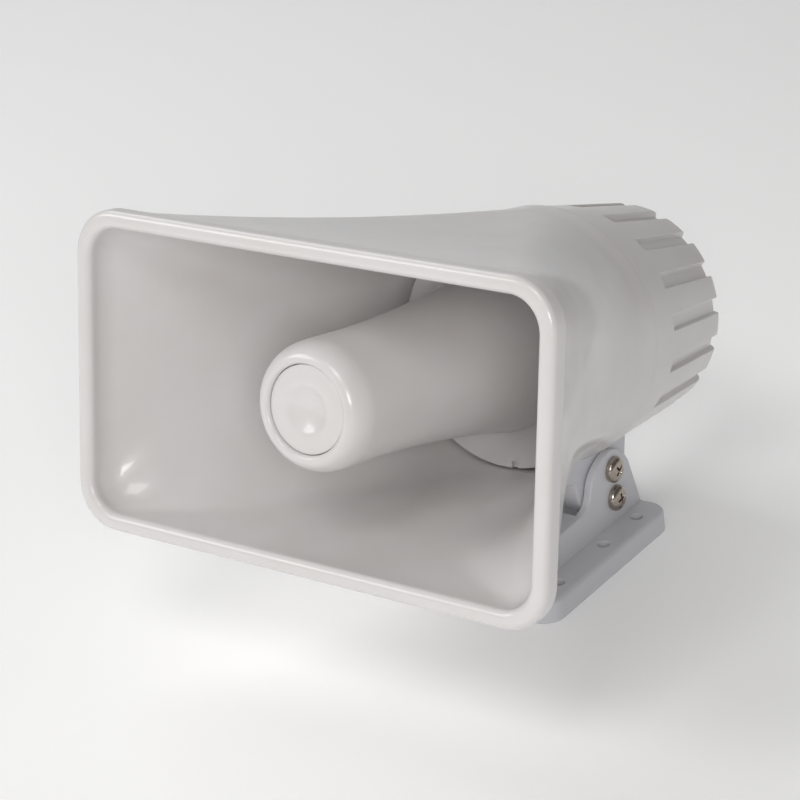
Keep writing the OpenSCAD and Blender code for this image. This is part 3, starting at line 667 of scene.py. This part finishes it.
def make_cup():
    profile = []
    for k in range(9):
        a = math.pi / 2 * k / 8
        profile.append((NOSE_RING - 1.5 * math.cos(a), CUP_FRONT + 1.6 * (1 - math.sin(a))))
    for k in range(1, 25):
        a = math.pi / 2 * k / 24
        profile.append((NOSE_RING + NOSE_IN * math.sin(a),
                        CUP_FRONT + NOSE_LEN * (1 - math.cos(a))))
    depths = [22, 30] + [30 + (CUP_REAR - 1.2 - 30) * i / 30 for i in range(1, 31)]
    profile += [(cup_outer(d), d) for d in depths]
    rim, lip = cup_outer(CUP_REAR), 0.75
    for k in range(7):
        a = math.pi * k / 6
        profile.append((rim - lip - 0.15 + lip * math.cos(a), CUP_REAR - lip + lip * math.sin(a)))
    profile += [(cup_outer(d) - CUP_WALL, d) for d in reversed(depths[1:-1])]
    profile += rounded([(CUP_R - CUP_WALL, 22), (CUP_R - CUP_WALL, CUP_FRONT + 14),
                        (NOSE_RING, CUP_FRONT + 6.4), (NOSE_RING - 1.5, CUP_FRONT + 6)],
                       [0, 3, 1, 0], closed=False)
    return lathe("reflector_cup_skin", profile, sharp_deg=45)


def make_disc():
    front, r = CUP_FRONT + 1.6, DISC_R - 0.12
    dish, sphere = 2.2, 17.5
    rim = math.sqrt(sphere ** 2 - (sphere - dish) ** 2)
    profile = [(0, front + dish)]
    for k in range(1, 17):
        x = (rim - 0.5) * k / 16
        profile.append((x, front + dish - sphere + math.sqrt(sphere ** 2 - x * x)))
    profile += [(rim + 0.1, front + 0.10), (rim + 0.8, front + 0.01)]
    profile += rounded([(rim + 2.4, front), (r, front), (r, front + 4.4)], 0.4, 4, closed=False)
    profile += [(r + 1.4, front + 4.4), (r + 1.4, front + 6), (r - 3, front + 6),
                (1.5, front + 17), (0, front + 17.4)]
    return lathe("reflector_disc", profile, closed=False, sharp_deg=50)


finish_piece(make_cup(), "horn", "reflector_cup")
finish_piece(make_disc(), "horn", "reflector_nose_disc")


# ------------------------------------------------------------------ rear cap

CAP_FRONT, CAP_END = 154.3, 216.8
CAP_ROUND = CAP_END - 7
CAP_FRONT_R, CAP_REAR_R = 49.6, 43.3
RIBS, GROOVE_W, GROOVE_DEPTH, GROOVE_START = 18, 5.6, 2.2, 171.8
RECESS_R = CAP_REAR_R - 6
CAP_WALL = 4.4
FLOOR_D = CAP_END - 3.6
POST_RING, WELL_R, WELL_BORE, WELL_FLOOR = 35.2, 4.6, 3.7, 168.0
GROMMET_H, GROMMET_BORE, INLET_R = -22.0, 5.5, 3.0
SCREW_BORE = 2.15
OUTSIDE_GROOVE = 99.0


def cap_outer(d):
    return CAP_FRONT_R - (CAP_FRONT_R - CAP_REAR_R) * (d - CAP_FRONT) / (CAP_ROUND - CAP_FRONT)


def smooth(low, high, v):
    t = min(1.0, max(0.0, (v - low) / (high - low)))
    return t * t * (3 - 2 * t)


def cap_columns():
    """Side offset in millimetres or share of the half pitch, for one side of a groove."""
    near = [0, 0.9, 1.8, 2.2, 2.4, 2.5, 2.6, 2.7, 2.8, 2.9, 3.0, 3.1, 3.2, 3.4, 3.7]
    far = [0.25, 0.5, 0.75, 1.0]
    return near, far


def make_cap():
    outline = [(CAP_FRONT_R - 0.5, CAP_FRONT), (CAP_FRONT_R - 0.12, CAP_FRONT + 0.15),
               (CAP_FRONT_R, CAP_FRONT + 0.55)]
    for d in (158, 163, 168, 170.6, 171.2, 171.4, 171.6, 171.8, 172.0, 172.2, 172.4, 173, 176):
        outline.append((cap_outer(d), d))
    outline += [(cap_outer(d), d) for d in range(181, 206, 5)]
    outline += spline([(cap_outer(207.5), 207.5), (CAP_REAR_R, CAP_ROUND),
                       (CAP_REAR_R - 0.45, CAP_END - 3.4), (CAP_REAR_R - 1.5, CAP_END - 1.15),
                       (CAP_REAR_R - 3.1, CAP_END - 0.1), (CAP_REAR_R - 4.4, CAP_END)], 4)
    near, far = cap_columns()
    pitch = 2 * math.pi / RIBS
    rings = []
    for r, d in outline:
        ring = []
        for k in range(RIBS):
            centre = (k + 0.5) * pitch
            half = [(math.asin(y / r), y) for y in near]
            last = half[-1][0]
            half += [(last + (pitch / 2 - last) * s, OUTSIDE_GROOVE) for s in far]
            both = [(-a, y) for a, y in reversed(half[1:-1])] + half
            for a, y in both:
                inside = 1 - smooth(GROOVE_W / 2 - 0.38, GROOVE_W / 2 + 0.38, y)
                begun = smooth(GROOVE_START - 0.5, GROOVE_START + 0.5, d)
                rr = max(r - GROOVE_DEPTH * inside * begun, RECESS_R + 0.45)
                t = centre + a
                ring.append((rr * math.cos(t), rr * math.sin(t), d))
        rings.append(ring)
    n = len(rings[0])

    def plain(r, d):
        return [(r * p[0] / math.hypot(p[0], p[1]), r * p[1] / math.hypot(p[0], p[1]), d)
                for p in rings[0]]

    rings.append(plain(RECESS_R + 0.35, CAP_END))
    rings.append(plain(RECESS_R + 0.05, CAP_END - 0.15))
    rings.append(plain(RECESS_R, CAP_END - 0.8))
    rings.append(plain(RECESS_R - 0.3, CAP_END - 1.0))
    for r in (30, 24, 16, 8, 2):
        rings.append(plain(r, CAP_END - 1.0))
    hub = len(rings) - 1  # between this ring and the next, the end wall is left solid
    for r in (2, 10, 20, 30, 36):
        rings.append(plain(r, FLOOR_D))
    rings.append(plain(cap_outer(FLOOR_D) - CAP_WALL - 0.6, FLOOR_D))
    for d in (200, 185, 170, 156):
        rings.append(plain(cap_outer(d) - CAP_WALL, d))
    rings.append(plain(CAP_FRONT_R - CAP_WALL, CAP_FRONT))
    verts = [p for r in rings for p in r]
    faces = []
    count = len(rings)
    for i in range(count):
        a, b = i * n, ((i + 1) % count) * n
        if i == hub:
            continue
        for j in range(n):
            k = (j + 1) % n
            faces.append((a + j, a + k, b + k, b + j))
    faces.append(tuple(range(hub * n, (hub + 1) * n)))
    faces.append(tuple(range((hub + 1) * n, (hub + 2) * n)))
    return make_object("rear_cap_skin", verts, faces, lathe_place(), 45)


def ring_places(radius, first=45, count=4):
    for k in range(count):
        yield (lathe_place() @ Matrix.Rotation(math.radians(first + 360 / count * k), 4, "Z")
               @ Matrix.Translation((radius, 0, 0)))


def make_full_cap():
    cap = make_cap()
    posts = merge("posts", [cylinder("post", WELL_R, 164.0, FLOOR_D + 1, p)
                            for p in ring_places(POST_RING)])
    boolean(cap, posts, "UNION", 45)
    bores = [lathe("well", [(0, WELL_FLOOR), (WELL_BORE, WELL_FLOOR),
                            (WELL_BORE, CAP_END - 1.3), (WELL_BORE + 0.35, CAP_END - 0.95),
                            (WELL_BORE + 0.35, CAP_END + 2), (0, CAP_END + 2)],
                   p, 48, closed=False) for p in ring_places(POST_RING)]
    bores += [cylinder("shank", SCREW_BORE, 160, WELL_FLOOR + 1, p)
              for p in ring_places(POST_RING)]
    drop = lathe_place() @ Matrix.Translation((0, -GROMMET_H, 0))
    bores.append(cylinder("gland", GROMMET_BORE, FLOOR_D - 2, CAP_END + 1, drop))
    for b in bores:
        boolean(cap, b, "DIFFERENCE", 45)
    return cap


finish_piece(make_full_cap(), "horn", "rear_cap")


def make_grommet():
    flange, neck = 7, GROMMET_BORE - 0.1
    profile = rounded([(INLET_R, FLOOR_D - 2), (flange, FLOOR_D - 2), (flange, FLOOR_D),
                       (neck, FLOOR_D), (neck, FLOOR_D + 2.6), (flange, FLOOR_D + 2.6),
                       (flange - 0.6, FLOOR_D + 4.8), (INLET_R, FLOOR_D + 4.8)],
                      [0.4, 0.8, 0.2, 0.1, 0.1, 0.3, 0.9, 0.5], 5)
    return lathe("cable_gland", profile,
                 lathe_place() @ Matrix.Translation((0, -GROMMET_H, 0)), 64)


finish_piece(make_grommet(), "horn", "cable_grommet")


# ------------------------------------------------------------------ screws

def cross_cutter(place, reach, width, depth):
    """Tapered cross for a driver, cut from the head's top at z = 0 down to -depth."""
    arms = []
    for turn in (0, math.pi / 2):
        rings = []
        for z, long, wide in ((0.6, reach * 1.1, width * 1.12), (0, reach, width),
                              (-depth * 0.6, reach * 0.72, width * 0.86),
                              (-depth, reach * 0.34, width * 0.6)):
            rings.append([(x, y, z) for x, y in rounded(
                [(-long, -wide / 2), (long, -wide / 2), (long, wide / 2), (-long, wide / 2)],
                wide * 0.3, 3)])
        arms.append(loft("arm", rings, place @ Matrix.Rotation(turn, 4, "Z"), caps=True))
    return boolean(arms[0], arms[1], "UNION")


def pan_screw(name, place, head_r, head_h, shank_r, length, turn=0.0):
    """Domed cross-recess screw. Local +Z points out of the head, z = 0 is under the head."""
    place = place @ Matrix.Rotation(math.radians(turn), 4, "Z")
    profile = [(0, -length), (shank_r * 0.72, -length), (shank_r, -length + 0.8)]
    z = -length + 0.8
    while z + 0.8 < -1.2:
        profile += [(shank_r, z + 0.1), (shank_r * 0.88, z + 0.4), (shank_r, z + 0.7)]
        z += 0.8
    profile += [(shank_r, -0.6), (shank_r, 0)]
    side = head_h * 0.34
    profile += rounded([(shank_r + 0.4, 0), (head_r, 0), (head_r, side)], 0.22, 3, closed=False)
    for k in range(1, 12):
        a = math.pi / 2 * k / 12
        profile.append((head_r * math.cos(a) ** 0.72, side + (head_h - side) * math.sin(a) ** 0.9))
    profile.append((0, head_h))
    screw = lathe(name, profile, place, 64, closed=False, sharp_deg=50)
    cutter = cross_cutter(place @ Matrix.Translation((0, 0, head_h)), head_r * 0.50,
                          head_r * 0.19, head_h * 0.62)
    return boolean(screw, cutter, "DIFFERENCE", 40)


def across(x, y, z):
    """Places local +Z outwards along +X or -X at a point in the row frame."""
    turn = math.pi / 2 if x > 0 else -math.pi / 2
    return Matrix.Translation((x, y, z)) @ Matrix.Rotation(turn, 4, "Y")


EAR_OUT = 27.2
LOCK_Y, LOCK_Z = PIVOT.y + 0.2, PIVOT.z - 12.4
EAR_HEAD = (5.2, 3.3, 2.5)  # head radius, head height and shank radius
CAP_HEAD = (3.4, 2.4, 2.0)
PIVOT_SCREW, LOCK_SCREW, CAP_SCREW = 11.5, 14, 19

finish_piece(merge("pivot_screw_pair", [
    pan_screw("a", across(EAR_OUT + 0.1, PIVOT.y, PIVOT.z), *EAR_HEAD, PIVOT_SCREW, 38),
    pan_screw("b", across(-EAR_OUT - 0.1, PIVOT.y, PIVOT.z), *EAR_HEAD, PIVOT_SCREW, 12)]),
    "horn", "pivot_screws")
finish_piece(merge("lock_screw_pair", [
    pan_screw("a", across(EAR_OUT, LOCK_Y, LOCK_Z), *EAR_HEAD, LOCK_SCREW, 8),
    pan_screw("b", across(-EAR_OUT, LOCK_Y, LOCK_Z), *EAR_HEAD, LOCK_SCREW, 52)]),
    "bracket", "lock_screws")
finish_piece(merge("cap_screw_set", [
    pan_screw("s", p @ Matrix.Translation((0, 0, WELL_FLOOR)), *CAP_HEAD, CAP_SCREW, 17 * i)
    for i, p in enumerate(ring_places(POST_RING))]), "horn", "cap_screws")


# ------------------------------------------------------------------ foot under the horn

FOOT_X, LUG_R, LUG_WALL = 23.3, 20.0, 3.6
FOOT_FRONT, FOOT_REAR = 121.0, 179.0
FOOT_LOW = -54.6
LUG = (PIVOT_DEPTH, -PIVOT_DROP)
SLOT_HALF, SLOT_SPARE_DEG = 2.8, 1.5
INSERT_R, INSERT_DEPTH = 3.82, 8.3
FOOT_SCREW_X, FOOT_SCREW_DEPTH = 12, 147.5


def horn_outside(grow):
    rings = [oval(outer_form(d), d, grow) for d in (110, 116, 121, 126, 131, 136, 140, FLARE_END)]
    rings += [oval(DRUM, d, grow) for d in (SEAM, CAP_FRONT)]
    for d in (CAP_FRONT + 0.02, 180, CAP_ROUND):
        r = cap_outer(d)
        rings.append(oval((r,) * 4, d, grow))
    return loft("horn_form", rings, HORN, caps=True)


def foot_outline():
    start = math.asin((FOOT_LOW - LUG[1]) / LUG_R)
    end = math.acos((FOOT_REAR - LUG[0]) / LUG_R)
    low_front = (FOOT_FRONT, -50.7)
    points = rounded([(FOOT_FRONT, -44), low_front, (143.4, -53.8)], [0, 0.6, 0], closed=False)
    points += arc(LUG, LUG_R, -math.pi - start, -end, 36)
    return points + [(FOOT_REAR, -36), (150, -36)]


def slot_outline():
    """Arc slot round the pivot, long enough for the lock screw at both limits of the tilt."""
    lock = math.atan2(LOCK_Z - PIVOT.z, LOCK_Y - PIVOT.y) + TILT
    radius = math.hypot(LOCK_Y - PIVOT.y, LOCK_Z - PIVOT.z)
    low, high = JOINTS["horn_tilt"]["range_deg"]
    a0 = lock + math.radians(low - SLOT_SPARE_DEG)
    a1 = lock + math.radians(high + SLOT_SPARE_DEG)
    near = (LUG[0] + radius * math.cos(a0), LUG[1] + radius * math.sin(a0))
    far = (LUG[0] + radius * math.cos(a1), LUG[1] + radius * math.sin(a1))
    outline = arc(LUG, radius + SLOT_HALF, a0, a1, 16)
    outline += arc(far, SLOT_HALF, a1, a1 + math.pi, 12, ends=False)
    outline += arc(LUG, radius - SLOT_HALF, a1, a0, 16)
    return outline + arc(near, SLOT_HALF, a0 + math.pi, a0 + 2 * math.pi, 12, ends=False)


def make_foot():
    foot = plate("foot_skin", foot_outline(), -FOOT_X, FOOT_X, 0.7, side_on, HORN)
    inner = FOOT_X - LUG_WALL
    box = rounded([(150, -84), (190, -84), (190, -56), (150, -56)], [0, 0, 0, 2.5])
    boolean(foot, plate("hollow", box, -inner, inner, 0.8, side_on, HORN), "DIFFERENCE")
    boolean(foot, horn_outside(0.12), "DIFFERENCE")
    boolean(foot, plate("slot", slot_outline(), -30, 30, 0.1, side_on, HORN), "DIFFERENCE")
    for side in (1, -1):
        bore = cylinder("bore", INSERT_R, -INSERT_DEPTH, 2,
                        across(side * FOOT_X, PIVOT.y, PIVOT.z))
        boolean(foot, bore, "DIFFERENCE")
    for x in (-FOOT_SCREW_X, FOOT_SCREW_X):
        up = HORN @ Matrix.Translation((x, FOOT_SCREW_DEPTH, 0))
        boolean(foot, cylinder("bore", 2.05, -70, -40, up), "DIFFERENCE")
        boolean(foot, cylinder("head", 4.0, -75, -58, up), "DIFFERENCE")
    return foot


finish_piece(make_foot(), "horn", "mount_foot")


# ------------------------------------------------------------------ bracket

BASE_X, BASE_Y, BASE_T, BASE_R = 40.0, 44.0, 9.0, 8.0
DECK_Z, EAR_IN = 22.0, 23.7
HOLE_R, PIVOT_HOLE_R, LOCK_HOLE_R = 2.4, 2.6, 2.55
HOLES = [(x, y) for x in (-32.6, 32.6) for y in (30, 5.5, -27)]


def make_bracket():
    outline = rounded([(-BASE_X, -BASE_Y), (BASE_X, -BASE_Y), (BASE_X, BASE_Y),
                       (-BASE_X, BASE_Y)], BASE_R, 10)
    base = plate("bracket_skin", outline, 0, BASE_T, 1.7, plan, steps=6, edge_low=0.3)
    front = rounded([(-38, 2), (-38, BASE_T), (-31, DECK_Z - 2.5), (-27, DECK_Z), (1, DECK_Z),
                     (1, 2)], [0, 1, 3, 3, 0.8, 0], 6)
    boolean(base, plate("block", front, -EAR_OUT, EAR_OUT, 0.9, side_on), "UNION")
    crest = spline([(1, DECK_Z), (4.8, 23.6), (7.2, 27), (9.2, 32), (13, 36), (18.6, 38.7),
                    (24, 39.6), (29.2, 37.9), (33.4, 34.4), (36.2, 30)], 6)
    ear = ([(-38, 2), (-38, BASE_T), (-31, DECK_Z - 2.5), (-27, DECK_Z), (-12, DECK_Z)]
           + crest + [(43, BASE_T), (43, 2)])
    for side in (1, -1):
        low, high = sorted((side * EAR_IN, side * (EAR_OUT + 0.001)))
        boolean(base, plate("ear", ear, low, high, 0.75, side_on), "UNION")
    hollow = rounded([(-32, -2), (-32, 8), (-28, 17), (-26, 19), (-2.5, 19), (-2.5, -2)],
                     [0, 1, 1, 1, 1, 0])
    boolean(base, plate("hollow", hollow, -EAR_IN, EAR_IN, 0.8, side_on), "DIFFERENCE")
    for x, y in HOLES:
        hole = cylinder("hole", HOLE_R, -2, BASE_T + 0.25, Matrix.Translation((x, y, 0)),
                        chamfer=0.3)
        boolean(base, hole, "DIFFERENCE")
    for z, y, r in ((PIVOT.z, PIVOT.y, PIVOT_HOLE_R), (LOCK_Z, LOCK_Y, LOCK_HOLE_R)):
        boolean(base, cylinder("bore", r, -40, 40, Matrix.Translation((0, y, z))
                               @ Matrix.Rotation(math.pi / 2, 4, "Y")), "DIFFERENCE")
    return base


finish_piece(make_bracket(), "bracket", "bracket_base")


# ------------------------------------------------------------------ stage, light and camera

def make_stage():
    """Floor that bends up into a wall behind the object, facing the camera."""
    bm = bmesh.new()
    half, back, height, bend, steps = 3.2, 2.6, 2.4, 0.9, 14
    path = [(-half, 0.0), (back - bend, 0.0)]
    for k in range(1, steps + 1):
        a = math.pi / 2 * k / steps
        path.append((back - bend + bend * math.sin(a), bend * (1 - math.cos(a))))
    path.append((back, height))
    turn = Matrix.Rotation(math.atan2(CAMERA_POS[0], -CAMERA_POS[1]), 4, "Z")
    rows = [[bm.verts.new(turn @ Vector((x, y, z))) for x in (-half, 0, half)] for y, z in path]
    for a, b in zip(rows, rows[1:]):
        for i in range(2):
            bm.faces.new((a[i], a[i + 1], b[i + 1], b[i])).smooth = True
    mesh = bpy.data.meshes.new("floor")
    bm.to_mesh(mesh)
    bm.free()
    floor = bpy.data.objects.new("floor", mesh)
    bpy.context.scene.collection.objects.link(floor)
    mat, tree, shader = new_material("pale_floor")
    xyz = object_coords(tree)
    tree.links.new(mix(tree, ramp(tree, noise(tree, xyz, 3, 3), 0.3, 0.7, 0, 1),
                       (0.94, 0.94, 0.94), (0.96, 0.96, 0.96)), shader.inputs["Base Color"])
    shader.inputs["Roughness"].default_value = 0.9
    shader.inputs["Emission Color"].default_value = (1, 1, 1, 1)
    shader.inputs["Emission Strength"].default_value = 0.13
    mesh.materials.append(mat)


def area_light(name, pos, target, size, power, colour):
    data = bpy.data.lights.new(name, "AREA")
    data.shape = "RECTANGLE"
    data.size, data.size_y = size
    data.energy = power
    data.color = colour
    obj = bpy.data.objects.new(name, data)
    obj.location = pos
    obj.rotation_mode = "QUATERNION"
    obj.rotation_quaternion = (Vector(target) - Vector(pos)).to_track_quat("-Z", "Y")
    bpy.context.scene.collection.objects.link(obj)


def make_light():
    world = bpy.data.worlds.new("studio")
    world.use_nodes = True
    background = world.node_tree.nodes["Background"]
    background.inputs["Color"].default_value = (1.0, 1.0, 1.0, 1)
    background.inputs["Strength"].default_value = 0.14
    bpy.context.scene.world = world
    target = (0, -0.05, 0.09)
    area_light("key", (1.10, -1.40, 0.80), target, (0.55, 0.45), 10.5, (1, 0.985, 0.965))
    area_light("left", (-1.20, -1.10, 1.10), target, (0.9, 0.7), 10.0, (1, 0.99, 0.98))
    area_light("front", (0.30, -1.20, 1.60), target, (0.7, 0.6), 7.5, (1, 0.99, 0.985))
    area_light("back", (-1.10, 0.30, 1.50), target, (0.9, 0.9), 6.5, (0.98, 0.99, 1))


def make_camera():
    data = bpy.data.cameras.new("camera")
    data.lens = CAMERA_LENS
    data.sensor_width = 36
    data.clip_start, data.clip_end = 0.05, 20
    cam = bpy.data.objects.new("camera", data)
    right, up = Vector(CAMERA_RIGHT), Vector(CAMERA_UP)
    back = right.cross(up).normalized()
    up = back.cross(right).normalized()
    rotation = Matrix((right, up, back)).transposed().to_4x4()
    cam.matrix_world = Matrix.Translation(CAMERA_POS) @ rotation
    bpy.context.scene.collection.objects.link(cam)
    bpy.context.scene.camera = cam


make_stage()
make_light()
make_camera()
bpy.context.scene.view_settings.view_transform = "Standard"
